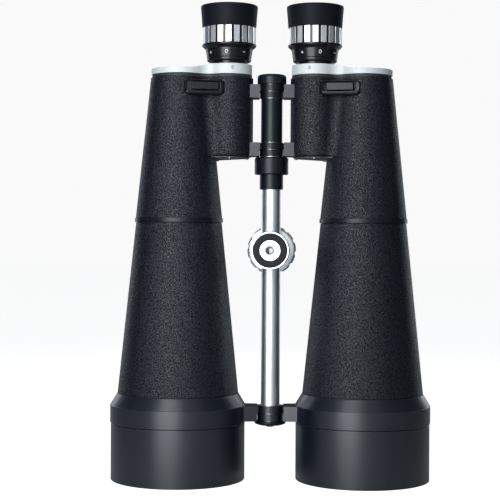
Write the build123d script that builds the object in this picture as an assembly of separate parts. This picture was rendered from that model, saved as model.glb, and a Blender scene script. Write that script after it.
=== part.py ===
"""Giant astronomy binoculars with 100 mm objectives, individual-focus eyepieces and a sliding tripod post.

The pair stands on its objective hoods. The origin is on the hinge axis, level with the rims of the hoods.
+Z runs up to the eyepieces, +X to the right-hand barrel, and -Y is the side that faces the tripod.
Every barrel piece is modelled at +X and mirrored for the left-hand barrel. Lengths are in millimetres.
"""

import os
from math import acos, atan2, cos, hypot, pi, radians, sin, sqrt, tan

from build123d import *

os.makedirs("parts", exist_ok=True)

# Optical axes of one half, seen from above.
OBJECTIVE_X = 76.0  # objective axis, from the hinge axis
EYE_X = 35.4  # eyepiece axis, from the hinge axis
OFFSET = OBJECTIVE_X - EYE_X  # shift that the two Porro prisms give
FOLD_X = (OBJECTIVE_X + EYE_X) / 2  # where the light goes down between the two prisms
FOLD_Y = OFFSET / 2

# Barrel, from the hood up to the prism housing.
SKIN = 1.0  # grained covering
WALL = 2.5
HOOD_R = 55.0
HOOD_TOP = 46.5
HOOD_WALL = 2.4
COLLAR_R = 55.6
COLLAR_Z = (46.8, 61.4)
COLLAR_TOP = (70.6, 49.75)  # height and radius at the end of the chamfer
TAPER = 0.103  # radius lost per millimetre of height
TUBE_TOP = 210.4
TUBE_TOP_R = 35.25  # over the covering
RIDGE_Z = (210.6, 214.0)
RIDGE_R = 36.2
HOUSING_FOOT_R = 35.55  # over the covering, just above the ridge
SHELF_Z = 264.5
HOUSING_TOP = 331.5
EYE_LOBE_R = 19.0  # casting round the eyepiece axis
FOLD_LOBE_R = 18.0  # casting round the far end of both prisms
VALLEY_R = 11.0  # hollow between the two lobes on the tripod side
SKIN_TOP = 329.0
# Height above the shelf and how far the two lobes are drawn in there, which rounds their lower edge.
SHELF_EDGE = [(0, 1.8), (0.5, 0.9), (1.4, 0.25), (2.6, 0), (HOUSING_TOP - SHELF_Z, 0)]

# Silver eyepiece plate.
PLATE_Z = 331.7
PLATE_EYE_TOP = 340.0
PLATE_BARREL_TOP = 336.3
PLATE_R = (23.3, 18.9, 18.2)  # barrel, eyepiece and fold lobes
RAMP = (13.0, 33.0)  # start and end of the step in the plate, from the eyepiece axis

# Objective doublet.
LENS_R = 51.5
CROWN_VERTEX = 33.0
CROWN_FRONT_R = 245.0
CROWN_BACK_R = 180.0
CROWN_THICK = 16.0
FLINT_BACK = 52.5

# Porro prisms.
PRISM_LONG = OFFSET * sqrt(2)  # hypotenuse face
PRISM_WIDE = PRISM_LONG / 2
UPPER_PRISM_Z = 300.0
LOWER_PRISM_Z = 296.0

# Hinge stack on the centre line.
AXLE_R = 5.0
RUNNING = 0.03  # radial clearance of a turning fit
KNUCKLE_R = 9.8
KNUCKLE_GAP = 0.3
LOWER_KNUCKLES = (265.1, 270.5, 270.9, 276.3)  # right-hand one, then left-hand one
UPPER_KNUCKLES = (312.9, 318.2, 318.6, 323.8)
FOOT_KNUCKLES = (48.2, 54.1, 54.5, 60.4)
FOOT_KNUCKLE_R = 10.6
FOOT_PIN_R = 4.0
ROD_R = 7.75
ROD_Z = (60.8, 250.3)
SLEEVE_Z = (238.0, 250.3)
COLLAR_NUT_Z = (250.3, 264.3)

# Tripod post, its axis along Y.
POST_Z = 188.0
POST_R = 15.5
POST_FRONT = -31.5
POST_BACK = 16.4
POST_NECK_R = 11.5
LINER_R = 9.3
STUD_R = 5.0
KNOB_R = 20.4
KNOB_Y = (17.6, 28.6)
KNOB_LOBES = 12
POST_TURN = 2.3  # degrees that the post is swung on the rod, its tripod face towards the left-hand barrel

# Eyepieces.
BASE_R = 14.6
BASE_BORE = 12.6
OCULAR_R = 12.5
GRIP_Z = (356.9, 370.7)
GRIP_R = 22.0
GRIP_CORE_R = 20.0
GRIP_LANDS = 20
CUP_TOP = 388.8


# ---------------------------------------------------------------- helpers


def turned(profile, x=0.0):
    """Solid of revolution about the vertical axis at x. The profile is a closed run of (radius, height)."""
    outline = Polyline([(r, 0, z) for r, z in profile], close=True)
    return Pos(x, 0, 0) * revolve(make_face(outline.edges()), Axis.Z, 360)


def ring(outer, inner, low, high, x=0.0):
    """Plain ring or tube about the vertical axis at x."""
    return turned([(inner, low), (outer, low), (outer, high), (inner, high)], x)


def rod(radius, low, high, x=0.0, y=0.0):
    """Plain vertical cylinder."""
    return Pos(x, y, (low + high) / 2) * Cylinder(radius, high - low)


def rod_y(radius, near, far, x=0.0, z=POST_Z):
    """Plain cylinder along Y."""
    return Pos(x, (near + far) / 2, z) * Rot(90, 0, 0) * Cylinder(radius, far - near)


def block(x, y, z):
    """Box between two limits on each axis."""
    sizes = [b - a for a, b in (x, y, z)]
    middle = [(a + b) / 2 for a, b in (x, y, z)]
    return Pos(*middle) * Box(*sizes)


def tube_radius(z):
    """Radius of the objective tube over its covering."""
    return TUBE_TOP_R + TAPER * (TUBE_TOP - z)


def housing_radius(z):
    """Radius of the barrel side of the prism housing over its covering."""
    return HOUSING_FOOT_R - TAPER * (z - RIDGE_Z[1])


def tangent_points(first, first_r, second, second_r):
    """Ends of the outer tangent between two circles, passed anticlockwise."""
    dx, dy = second[0] - first[0], second[1] - first[1]
    length = hypot(dx, dy)
    turn = acos((first_r - second_r) / length)
    dx, dy = dx / length, dy / length
    nx, ny = cos(turn) * dx + sin(turn) * dy, cos(turn) * dy - sin(turn) * dx
    return (
        (first[0] + first_r * nx, first[1] + first_r * ny),
        (second[0] + second_r * nx, second[1] + second_r * ny),
    )


def arc_between(centre, radius, start, end, z):
    """Anticlockwise arc about centre from start to end, at height z."""
    a = atan2(start[1] - centre[1], start[0] - centre[0])
    b = atan2(end[1] - centre[1], end[0] - centre[0])
    middle = a + ((b - a) % (2 * pi)) / 2
    half = (centre[0] + radius * cos(middle), centre[1] + radius * sin(middle))
    return ThreePointArc((*start, z), (*half, z), (*end, z))


def lobed_face(barrel_r, eye_r, fold_r, valley_r, z):
    """Outline of the prism housing at height z: three lobes with a hollow on the tripod side."""
    barrel, eye, fold = (OBJECTIVE_X, 0.0), (EYE_X, 0.0), (FOLD_X, FOLD_Y)
    reach_b, reach_e = barrel_r + valley_r, eye_r + valley_r
    along = (OFFSET**2 + reach_e**2 - reach_b**2) / (2 * OFFSET)
    hollow = (EYE_X + along, -sqrt(reach_e**2 - along**2))
    on_barrel = tuple(b + (h - b) * barrel_r / reach_b for b, h in zip(barrel, hollow))
    on_eye = tuple(e + (h - e) * eye_r / reach_e for e, h in zip(eye, hollow))
    barrel_out, fold_in = tangent_points(barrel, barrel_r, fold, fold_r)
    fold_out, eye_in = tangent_points(fold, fold_r, eye, eye_r)
    edges = [
        arc_between(barrel, barrel_r, on_barrel, barrel_out, z),
        Line((*barrel_out, z), (*fold_in, z)),
        arc_between(fold, fold_r, fold_in, fold_out, z),
        Line((*fold_out, z), (*eye_in, z)),
        arc_between(eye, eye_r, eye_in, on_eye, z),
        arc_between(hollow, valley_r, on_barrel, on_eye, z),
    ]
    return Face(Wire(edges))


def lobed_solid(offset):
    """Prism housing body over its whole height, grown by offset from the casting's outside."""
    sections = [
        lobed_face(
            housing_radius(SHELF_Z + rise) - SKIN + offset,
            EYE_LOBE_R - drawn_in + offset,
            FOLD_LOBE_R - drawn_in + offset,
            VALLEY_R - offset,
            SHELF_Z + rise,
        )
        for rise, drawn_in in SHELF_EDGE
    ]
    return loft(sections, ruled=True)


def lobed_slice(offset, low, high):
    """Part of the prism housing body between two heights."""
    return lobed_solid(offset) & block((0, 120), (-60, 60), (low, high))


def cone(offset, low, high):
    """Barrel side of the housing between two heights, grown by offset from the casting's outside."""
    inner = offset - SKIN
    return turned(
        [
            (0, low),
            (housing_radius(low) + inner, low),
            (housing_radius(high) + inner, high),
            (0, high),
        ],
        OBJECTIVE_X,
    )


def lens(radius, low, low_sag, high, high_sag):
    """Round lens. low and high are the vertices, and each sag is how far the rim stands above its vertex."""
    def face_edge(vertex, sag):
        if sag == 0:
            return Line((0, 0, vertex), (radius, 0, vertex))
        half = sag * 0.25
        return ThreePointArc((0, 0, vertex), (radius / 2, 0, vertex + half), (radius, 0, vertex + sag))

    bottom, top = face_edge(low, low_sag), face_edge(high, high_sag)
    rim = Line((radius, 0, low + low_sag), (radius, 0, high + high_sag))
    axis = Line((0, 0, low), (0, 0, high))
    return revolve(make_face([bottom, rim, top, axis]), Axis.Z, 360)


def sagitta(curve_r, radius):
    """Depth of a spherical surface at a given radius."""
    return curve_r - sqrt(curve_r**2 - radius**2)


def knuckles(levels, side):
    """(own, other) height ranges of the hinge knuckles on one side: left on top, right below."""
    low, high = levels[:2], levels[2:]
    return (high, low) if side == "left" else (low, high)


def hinge_lug(levels, side, knuckle_r, bore, root_x, root_half, tip_half):
    """Arm that carries one knuckle, with room for the knuckle of the other half."""
    own, other = knuckles(levels, side)
    plan = Polyline(
        [
            (knuckle_r * 0.99, -tip_half),
            (root_x, -root_half),
            (root_x, root_half),
            (knuckle_r * 0.99, tip_half),
        ],
        close=True,
    )
    arm = Pos(0, 0, levels[0]) * extrude(make_face(plan.edges()), levels[3] - levels[0])
    eye = rod(knuckle_r, *own) + block((0, knuckle_r + 1), (-4.5, 4.5), own)
    swing = rod(knuckle_r + KNUCKLE_GAP, other[0] - 0.2, other[1] + 0.2)
    slot = [other[0] - 0.2, other[1] + 0.2]
    near = block((0, knuckle_r + 0.2), (-root_half, root_half), slot)
    return (arm - swing - near) + (eye - swing) - rod(bore, levels[0] - 1, levels[3] + 1)


# ---------------------------------------------------------------- one barrel


LUG_X = (38.8, 71.0)
LUG_Z = (313.5, 326.5)
LUG_FACE = (-21.55, -26.35)  # front face at each end
STRAP_X = (40.4, 69.5)
STRAP_Z = (317.4, 325.4)
STRAP_FLOOR = [(69.5, -21.4), (64.0, -19.0), (60.0, -16.2), (55.0, -14.6), (47.0, -14.8), (40.4, -16.2)]
BRIDGE_X = (43.7, 65.1)
BRIDGE_THICK = 1.4
BRIDGE_INSET = 0.2


def lug_face_y(x):
    """Y of the sloping front face of the strap lug at x."""
    share = (x - LUG_X[0]) / (LUG_X[1] - LUG_X[0])
    return LUG_FACE[0] + share * (LUG_FACE[1] - LUG_FACE[0])


def plan_slab(points, z):
    """Vertical slab with the given plan outline."""
    outline = Polyline(points, close=True)
    return Pos(0, 0, z[0]) * extrude(make_face(outline.edges()), z[1] - z[0])


def strap_passage():
    """Space behind the bridge that the neck strap runs through, with its two mouths."""
    a, b = STRAP_X
    front = [(a, lug_face_y(a) - 2), (b, lug_face_y(b) - 2)]
    return plan_slab(front + STRAP_FLOOR, STRAP_Z)


def strap_lug():
    """Bridge for the neck strap, let into the hollow between the two lobes."""
    a, b = LUG_X
    plan = [(a, lug_face_y(a)), (b, lug_face_y(b)), (b - 3, -12), (a + 3, -12)]
    body = plan_slab(plan, LUG_Z)
    middle = ((a + b) / 2, (LUG_Z[0] + LUG_Z[1]) / 2)
    rim = Pos(middle[0], 0, middle[1]) * Rot(90, 0, 0) * RectangleRounded(b - a, LUG_Z[1] - LUG_Z[0], 3.2)
    body = body & extrude(rim, 60, both=True)
    body -= lobed_solid(0.0)
    body -= strap_passage()
    c, d = BRIDGE_X
    near = [(x, lug_face_y(x) + BRIDGE_INSET) for x in (c, d)]
    far = [(x, lug_face_y(x) + BRIDGE_INSET + BRIDGE_THICK) for x in (d, c)]
    bridge = plan_slab(near + far, (STRAP_Z[0] - 0.6, STRAP_Z[1] + 0.6))
    return body + bridge


def plate_screw_points():
    """Where the eyepiece plate is screwed down: twice round the barrel lobe and once past the fold."""
    round_barrel = [
        (OBJECTIVE_X + 19.2 * cos(radians(a)), 19.2 * sin(radians(a))) for a in (-55, 12)
    ]
    return round_barrel + [(FOLD_X, FOLD_Y + 14.6)]


SHELF_SCREWS = [(EYE_X - 1.0, -15.2), (EYE_X - 15.0, 3.5), (EYE_X + 10.0, 28.5)]


def prism_housing(side):
    """Casting that holds the prisms, with the barrel's upper end and two hinge lugs."""
    shell = lobed_solid(0.0) + cone(0.0, RIDGE_Z[0], SHELF_Z)
    shell += ring(RIDGE_R, 28.0, *RIDGE_Z, OBJECTIVE_X)
    for levels in (LOWER_KNUCKLES, UPPER_KNUCKLES):
        shell += hinge_lug(levels, side, KNUCKLE_R, AXLE_R + RUNNING, 20.0, 10.0, 10.0)
    shell -= lobed_solid(-WALL) + cone(-WALL, RIDGE_Z[0] - 1, SHELF_Z)
    bosses = [rod(2.9, HOUSING_TOP - 14, HOUSING_TOP, x, y) for x, y in plate_screw_points()]
    bosses += [rod(3.2, SHELF_Z, SHELF_Z + 8, x, y) for x, y in SHELF_SCREWS]
    inside = lobed_solid(-0.5)
    for boss in bosses:
        shell += boss & inside
    for x, y in SHELF_SCREWS:
        shell -= rod(1.05, SHELF_Z - 1, SHELF_Z + 7, x, y)
    for x, y in plate_screw_points():
        shell -= rod(1.25, HOUSING_TOP - 12, HOUSING_TOP + 1, x, y)
    return shell - strap_passage()


def housing_skin():
    """Grained covering of the housing, trimmed round the hinge lugs and the strap lug."""
    skin = lobed_slice(SKIN, SHELF_Z, SKIN_TOP) + cone(SKIN, RIDGE_Z[1], SHELF_Z)
    skin -= lobed_solid(0.0) + cone(0.0, RIDGE_Z[1] - 1, SHELF_Z)
    for levels in (LOWER_KNUCKLES, UPPER_KNUCKLES):
        skin -= block((0, 20.2), (-10.1, 10.1), (levels[0] - 0.1, levels[3] + 0.1))
    lug_x, lug_z = (LUG_X[0] - 0.1, LUG_X[1] + 0.1), (LUG_Z[0] - 0.1, LUG_Z[1] + 0.1)
    return skin - block(lug_x, (-40, -8), lug_z)


def eyepiece_plate():
    """Silver cover over the prisms. It is thick round the eyepiece and steps down towards the barrel."""
    barrel_r, eye_r, fold_r = PLATE_R
    body = extrude(lobed_face(barrel_r, eye_r, fold_r, VALLEY_R, PLATE_Z), 12)
    start, end = EYE_X + RAMP[0], EYE_X + RAMP[1]
    ramp = Spline(
        [(start, 0, PLATE_EYE_TOP), (end, 0, PLATE_BARREL_TOP)],
        tangents=[(1, 0, 0), (1, 0, 0)],
    )
    profile = [
        Line((0, 0, PLATE_Z), (0, 0, PLATE_EYE_TOP)),
        Line((0, 0, PLATE_EYE_TOP), (start, 0, PLATE_EYE_TOP)),
        ramp,
        Line((end, 0, PLATE_BARREL_TOP), (120, 0, PLATE_BARREL_TOP)),
        Line((120, 0, PLATE_BARREL_TOP), (120, 0, PLATE_Z)),
        Line((120, 0, PLATE_Z), (0, 0, PLATE_Z)),
    ]
    body = body & extrude(make_face(profile), 80, both=True)
    body -= rod(BASE_R, PLATE_Z - 1, PLATE_EYE_TOP + 1, EYE_X)
    for x, y in plate_screw_points():
        body -= rod(1.4, PLATE_Z - 1, PLATE_EYE_TOP, x, y)
        body -= turned_at([(0, PLATE_BARREL_TOP - 1.6), (1.4, PLATE_BARREL_TOP - 1.6),
                           (2.6, PLATE_BARREL_TOP - 0.4), (2.6, PLATE_EYE_TOP + 1),
                           (0, PLATE_EYE_TOP + 1)], x, y)
    return body


def turned_at(profile, x, y):
    """Solid of revolution about a vertical axis anywhere."""
    return Pos(0, y, 0) * turned(profile, x)


def cross_slot(x, y, z, reach=1.7, wide=0.5, deep=0.9):
    """Cross-shaped driver recess whose floor is deep below z."""
    bars = [((reach, wide / 2)), ((wide / 2, reach))]
    slots = [block((x - a, x + a), (y - b, y + b), (z - deep, z + 1)) for a, b in bars]
    return slots[0] + slots[1]


def plate_screws():
    """Countersunk screws of the eyepiece plate and pan-head screws of the shelf plate."""
    screws = []
    top = PLATE_BARREL_TOP - 0.5
    for x, y in plate_screw_points():
        head = [(0, HOUSING_TOP - 9), (1.15, HOUSING_TOP - 9), (1.15, top - 1.3), (2.4, top), (0, top)]
        screws.append(turned_at(head, x, y) - cross_slot(x, y, top))
    low = SHELF_Z - 1.0
    for x, y in SHELF_SCREWS:
        head = [(0, low - 0.8), (1.2, low - 0.8), (1.5, low - 0.4), (1.5, low), (0.95, low),
                (0.95, SHELF_Z + 6), (0, SHELF_Z + 6)]
        slot = Pos(x, y, low - 0.8) * Box(2.2, 0.4, 0.8)
        screws.append(turned_at(head, x, y) - slot)
    return Compound(children=screws)


def shelf_plate():
    """Cover that closes the housing from below, beside the barrel."""
    low, high = SHELF_Z - 1.0, SHELF_Z - 0.1
    outline = lobed_face(housing_radius(SHELF_Z) - SKIN, EYE_LOBE_R - 1.9, FOLD_LOBE_R - 1.9, VALLEY_R, low)
    plate = extrude(outline, high - low) - rod(31.1, low - 1, high + 1, OBJECTIVE_X)
    for x, y in SHELF_SCREWS:
        plate -= rod(1.05, low - 1, high + 1, x, y)
    return plate


def prism_shelf():
    """Plate between the prisms that carries both of them, with a window for each pass of the light."""
    low, high = LOWER_PRISM_Z + 0.1, UPPER_PRISM_Z - 0.1
    plate = lobed_slice(-WALL - 0.15, low, high)
    for x, y in ((OBJECTIVE_X, 0), (FOLD_X, FOLD_Y), (EYE_X, 0)):
        plate -= rod(12.6, low - 1, high + 1, x, y)
    return plate


def on_light_path(shape, end_x, z, upside_down):
    """Puts a piece drawn along X on one of the two prism beds, at the fold and at end_x."""
    angle = 135 if end_x > FOLD_X else 45
    middle = ((end_x + FOLD_X) / 2, FOLD_Y / 2)
    flip = Rot(180, 0, 0) if upside_down else Rot(0, 0, 0)
    return Pos(middle[0], middle[1], z) * Rot(0, 0, angle) * flip * shape


def porro_prism():
    """Right-angle prism lying on its long face, with rounded ends."""
    half = PRISM_LONG / 2
    roof = Polyline([(-half, 0, 0), (half, 0, 0), (0, 0, half)], close=True)
    wedge = extrude(make_face(roof.edges()), PRISM_WIDE / 2, both=True)
    ends = extrude(SlotOverall(PRISM_LONG - 0.2, PRISM_WIDE - 0.2), PRISM_LONG)
    return wedge & ends


def prism_strap():
    """Bent spring strap that holds a prism down on the shelf."""
    half = PRISM_LONG / 2
    inner, thick = 0.15, 0.5
    outside = half + inner + thick
    points = [
        (-outside, 0, 0), (0, 0, outside), (outside, 0, 0),
        (outside - thick, 0, 0), (0, 0, outside - thick), (-outside + thick, 0, 0),
    ]
    strap = Polyline(points, close=True)
    return extrude(make_face(strap.edges()), 3.0, both=True)


def objective_tube():
    """Tapered tube between the collar and the housing, with a spigot at its top."""
    outer = [(tube_radius(z) - SKIN, z) for z in (70.8, TUBE_TOP)]
    foot = [(49.0, 58.2), (49.0, 70.8)]
    spigot = [(31.0, TUBE_TOP), (31.0, 221.0), (29.0, 221.0), (29.0, TUBE_TOP - 3), (32.6, TUBE_TOP - 8)]
    inner = [(tube_radius(80.0) - SKIN - 2.2, 80.0), (46.4, 58.2)]
    return turned(foot + outer + spigot + inner, OBJECTIVE_X)


def tube_skin():
    """Grained covering of the objective tube."""
    low, high = 71.0, TUBE_TOP - 0.1
    outer = [(tube_radius(z), z) for z in (low, high)]
    inner = [(tube_radius(z) - SKIN + 0.02, z) for z in (high, low)]
    return turned(outer + inner, OBJECTIVE_X)


def objective_collar(side):
    """Ring between tube and hood that seats the objective and carries the foot hinge arm."""
    profile = [
        (LENS_R + 0.05, 38.8), (52.5, 38.8), (52.5, COLLAR_Z[0]), (COLLAR_R - 0.4, COLLAR_Z[0]),
        (COLLAR_R, COLLAR_Z[0] + 0.4), (COLLAR_R, COLLAR_Z[1] - 0.3), (COLLAR_R - 0.3, COLLAR_Z[1]),
        (COLLAR_TOP[1], COLLAR_TOP[0]), (49.1, COLLAR_TOP[0]), (49.1, 57.8),
        (46.4, 57.8), (46.4, FLINT_BACK + 0.3), (LENS_R + 0.05, FLINT_BACK + 0.3),
    ]
    body = turned(profile, OBJECTIVE_X)
    arm = hinge_lug(FOOT_KNUCKLES, side, FOOT_KNUCKLE_R, FOOT_PIN_R + RUNNING, 24.0, 13.0, 10.9)
    return body + (arm - rod(54.0, 30, 80, OBJECTIVE_X))


def objective_hood():
    """Hood in front of the objective, with baffle grooves inside, screwed over the collar."""
    inner = HOOD_R - HOOD_WALL
    grooves = []
    for n in range(9):
        z = 4.0 + 3.4 * n
        grooves += [(inner, z), (inner + 0.7, z + 0.5), (inner + 0.7, z + 1.3), (inner, z + 1.8)]
    profile = [(inner + 0.6, 0), (HOOD_R - 0.5, 0), (HOOD_R, 0.5), (HOOD_R, HOOD_TOP - 0.4),
               (HOOD_R - 0.4, HOOD_TOP), (inner, HOOD_TOP)]
    return turned(profile + grooves[::-1] + [(inner, 0.6)], OBJECTIVE_X)


def crown_lens():
    """Front element of the objective."""
    front = sagitta(CROWN_FRONT_R, LENS_R)
    back = -sagitta(CROWN_BACK_R, LENS_R)
    return Pos(OBJECTIVE_X, 0, 0) * lens(LENS_R, CROWN_VERTEX, front, CROWN_VERTEX + CROWN_THICK, back)


def flint_lens():
    """Rear element, which nests on the crown with a thin cement gap."""
    back = -sagitta(CROWN_BACK_R, LENS_R)
    return Pos(OBJECTIVE_X, 0, 0) * lens(LENS_R, CROWN_VERTEX + CROWN_THICK + 0.05, back, FLINT_BACK, 0)


def lens_retainer():
    """Threaded ring that holds the objective in the collar, with two spanner slots."""
    edge = CROWN_VERTEX + sagitta(CROWN_FRONT_R, LENS_R)
    body = turned(
        [(50.2, edge - 2.9), (52.5, edge - 2.9), (52.5, edge + 0.2), (51.6, edge + 0.2),
         (51.6, edge - 0.15), (50.2, edge - 0.35)],
        OBJECTIVE_X,
    )
    for turn in (45, 225):
        notch = Rot(0, 0, turn) * Pos(51.4, 0, edge - 2.6) * Box(1.6, 2.0, 1.4)
        body -= Pos(OBJECTIVE_X, 0, 0) * notch
    return body


# ---------------------------------------------------------------- one eyepiece


def eyepiece_base():
    """Fixed threaded tube that stands in the eyepiece plate."""
    body = [(BASE_BORE, 329.5), (16.0, 329.5), (16.0, PLATE_Z - 0.1), (BASE_R, PLATE_Z - 0.1),
            (BASE_R, 361.5), (BASE_BORE, 361.5)]
    return turned(body, EYE_X)


def focus_ring():
    """Ring that turns on the base: a skirt with the focus scale, a flange and the core of the grip."""
    bore = BASE_R + 0.08
    body = [
        (bore, 342.6), (16.9, 342.6), (18.1, 343.5), (18.2, 345.2), (17.95, 345.35), (17.95, 345.65),
        (18.25, 345.8), (19.4, 352.9), (22.1, 355.4), (22.3, 355.8), (22.3, GRIP_Z[0] - 0.1),
        (GRIP_CORE_R, GRIP_Z[0] - 0.1), (GRIP_CORE_R, 372.6), (15.5, 372.6), (15.5, 367.9),
        (OCULAR_R + 0.06, 367.9), (OCULAR_R + 0.06, 366.0), (bore, 366.0),
    ]
    return turned(body, EYE_X)


def grip_ring():
    """Bright fluted ring round the focus ring."""
    body = ring(GRIP_R, GRIP_CORE_R + 0.02, *GRIP_Z, EYE_X)
    high = GRIP_Z[1] - GRIP_Z[0] + 2
    for n in range(GRIP_LANDS):
        flute = Pos(GRIP_R + 0.3, 0, (GRIP_Z[0] + GRIP_Z[1]) / 2) * Box(2.4, 1.6, high)
        body -= Pos(EYE_X, 0, 0) * Rot(0, 0, (n + 0.5) * 360 / GRIP_LANDS) * flute
    return body


def eyecup():
    """Flared rubber cup with a rolled lip."""
    low = GRIP_Z[1] + 0.1
    outer = [(GRIP_CORE_R + 0.02, low), (22.0, low), (22.35, low + 1.5), (22.75, low + 8.0),
             (23.5, CUP_TOP - 1.4), (23.35, CUP_TOP - 0.4), (22.8, CUP_TOP)]
    inner = [(22.0, CUP_TOP - 0.3), (21.0, CUP_TOP - 4.0), (19.6, 376.5), (16.2, 374.4),
             (16.2, 372.7), (GRIP_CORE_R + 0.02, 372.7)]
    return turned(outer + inner, EYE_X)


def ocular_barrel():
    """Tube that carries the eyepiece lenses and slides in the base."""
    body = [
        (11.05, 333.0), (OCULAR_R, 333.0), (OCULAR_R, 368.0), (15.2, 368.0), (15.2, 373.6),
        (14.6, 374.2), (11.4, 375.4), (10.6, 375.4), (10.6, 374.6), (11.05, 374.0),
    ]
    return turned(body, EYE_X)


def ocular_lenses():
    """Eye lens, middle doublet and field lens."""
    eye = lens(11.0, 369.2, 1.2, 374.2, -1.6)
    middle = lens(11.0, 352.0, 1.8, 359.0, -1.8)
    field = lens(11.0, 336.0, 0, 340.5, -2.0)
    return Pos(EYE_X, 0, 0) * Compound(children=[eye, middle, field])


# ---------------------------------------------------------------- centre hinge and rod


def hinge_axle():
    """Steel axle through the four upper knuckles, tapped into the rod."""
    return rod(AXLE_R, 232.0, 329.5)


def hinge_tube():
    """Spacer tube between the two pairs of upper knuckles."""
    return ring(8.8, AXLE_R, LOWER_KNUCKLES[3] + 0.4, UPPER_KNUCKLES[0] - 0.4)


def hinge_cap():
    """Round cap screwed on the top of the axle."""
    low = UPPER_KNUCKLES[3] + 0.4
    body = [(0, 329.5), (AXLE_R, 329.5), (AXLE_R, low), (11.5, low), (11.9, low + 0.5),
            (11.9, 330.2), (11.5, 331.4), (10.5, 332.1), (9.0, 332.5), (0, 332.5)]
    return turned(body)


def tension_collar():
    """Large nut that sets the stiffness of the hinge."""
    low, high = COLLAR_NUT_Z
    body = [(AXLE_R, low), (13.3, low), (13.9, low + 0.6), (13.9, high - 1.0), (12.9, high), (AXLE_R, high)]
    return turned(body)


def rod_sleeve():
    """Socket that joins the rod to the hinge."""
    low, high = SLEEVE_Z
    body = [(ROD_R, low), (9.2, low), (9.65, low + 0.5), (9.65, high), (ROD_R, high)]
    return turned(body)


def support_rod():
    """Bright rod that braces the barrels, turned down at its foot for the lower hinge."""
    low, high = ROD_Z
    body = [(0, 45.8), (FOOT_PIN_R, 45.8), (FOOT_PIN_R, low), (ROD_R, low), (ROD_R, high),
            (AXLE_R, high), (AXLE_R, 232.0), (0, 232.0)]
    return turned(body) - rod(1.6, 45.0, 55.0)


def foot_cap():
    """Disc under the lower hinge, and the slotted screw that draws it on to the rod."""
    low, high = 44.4, FOOT_KNUCKLES[0] - 0.4
    body = [(1.75, low), (9.5, low), (12.2, low + 0.9), (13.0, low + 2.0), (13.0, high - 0.4), (12.7, high),
            (FOOT_PIN_R, high), (FOOT_PIN_R, low + 1.4), (1.75, low + 1.4)]
    screw = [(0, 42.8), (2.9, 42.8), (3.4, 43.3), (3.4, low), (1.6, low), (1.6, 55.0), (0, 55.0)]
    slot = block((-4, 4), (-0.4, 0.4), (42.0, 43.7))
    return Compound(children=[turned(body), turned(screw) - slot])


def hinge_washers():
    """Thin washers above, between and below the knuckles, and a thicker one under the lowest."""
    washers = [ring(9.4, AXLE_R + 0.02, COLLAR_NUT_Z[1] + 0.01, LOWER_KNUCKLES[0] - 0.01)]
    for levels, bore, outer in (
        (LOWER_KNUCKLES, AXLE_R, 8.6),
        (UPPER_KNUCKLES, AXLE_R, 8.6),
        (FOOT_KNUCKLES, FOOT_PIN_R, 9.4),
    ):
        for low in (levels[0] - 0.39, levels[1] + 0.01, levels[3] + 0.01):
            if low > LOWER_KNUCKLES[0] or levels != LOWER_KNUCKLES:
                washers.append(ring(outer, bore + 0.02, low, low + 0.38))
    return Compound(children=washers)


# ---------------------------------------------------------------- tripod post


def mount_liner():
    """Split nylon bush that slides on the rod inside the post."""
    bush = ring(LINER_R, ROD_R + 0.05, POST_Z - 11.5, POST_Z + 11.5)
    return bush - block((-20, -2), (-0.6, 0.6), (POST_Z - 20, POST_Z + 20))


def mount_post():
    """Post that carries the tripod socket, with a cross bore for the rod and a tapped neck behind."""
    body = rod_y(POST_R, POST_FRONT, 10.4) + rod_y(POST_NECK_R, 10.4, POST_BACK)
    body = chamfer(body.edges().filter_by(GeomType.CIRCLE).group_by(Axis.Y)[0], 0.5)
    body -= rod(LINER_R + 0.05, POST_Z - 30, POST_Z + 30)
    body -= rod_y(STUD_R + 0.05, 0, POST_BACK + 1)
    body -= rod_y(14.0, POST_FRONT - 1, POST_FRONT + 1.6) - rod_y(8.2, POST_FRONT - 2, POST_FRONT + 3)
    return body - rod_y(6.0, POST_FRONT - 1, POST_FRONT + 15)


def tripod_bushing():
    """Steel insert with the quarter-inch tripod thread."""
    body = rod_y(6.0, POST_FRONT - 0.2, POST_FRONT + 15)
    bore = rod_y(2.6, POST_FRONT - 1, POST_FRONT + 12.8)
    mouth = Pos(0, POST_FRONT + 0.15, POST_Z) * Rot(90, 0, 0) * Cone(2.6, 3.3, 0.7)
    return body - bore - mouth


def friction_ring():
    """Rubber ring on the face that meets the tripod."""
    return rod_y(13.95, POST_FRONT - 0.3, POST_FRONT + 1.55) - rod_y(8.25, POST_FRONT - 1, POST_FRONT + 2)


def clamp_shoe():
    """Brass shoe that the knob presses on the liner."""
    return rod_y(STUD_R - 0.05, 4.0, 12.6) - rod(LINER_R + 0.05, POST_Z - 20, POST_Z + 20)


def clamp_knob():
    """Scalloped wheel that tightens the clamp, with the stud fixed in it."""
    near, far = KNOB_Y
    profile = [(STUD_R, near), (12.0, near), (17.6, near + 0.8), (19.3, near + 1.6), (KNOB_R, near + 3.4),
               (KNOB_R, far - 1.2), (19.2, far), (15.2, far), (14.4, far - 1.2), (0, far - 1.2),
               (0, 12.7), (STUD_R, 12.7)]
    body = Pos(0, 0, POST_Z) * Rot(-90, 0, 0) * turned(profile)
    for n in range(KNOB_LOBES):
        dent = Pos(0, 0, POST_Z) * Rot(0, (n + 0.25) * 360 / KNOB_LOBES, 0)
        dent *= Pos(KNOB_R + 1.6, (near + far) / 2, 0) * Rot(90, 0, 0) * Cylinder(2.6, far - near + 2)
        body -= dent
    return body


# ---------------------------------------------------------------- writing


def save(shape, name):
    """Writes one node, with its solids cleaned up."""
    export_step(Compound(children=list(shape.solids())), f"parts/{name}.step")


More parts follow.
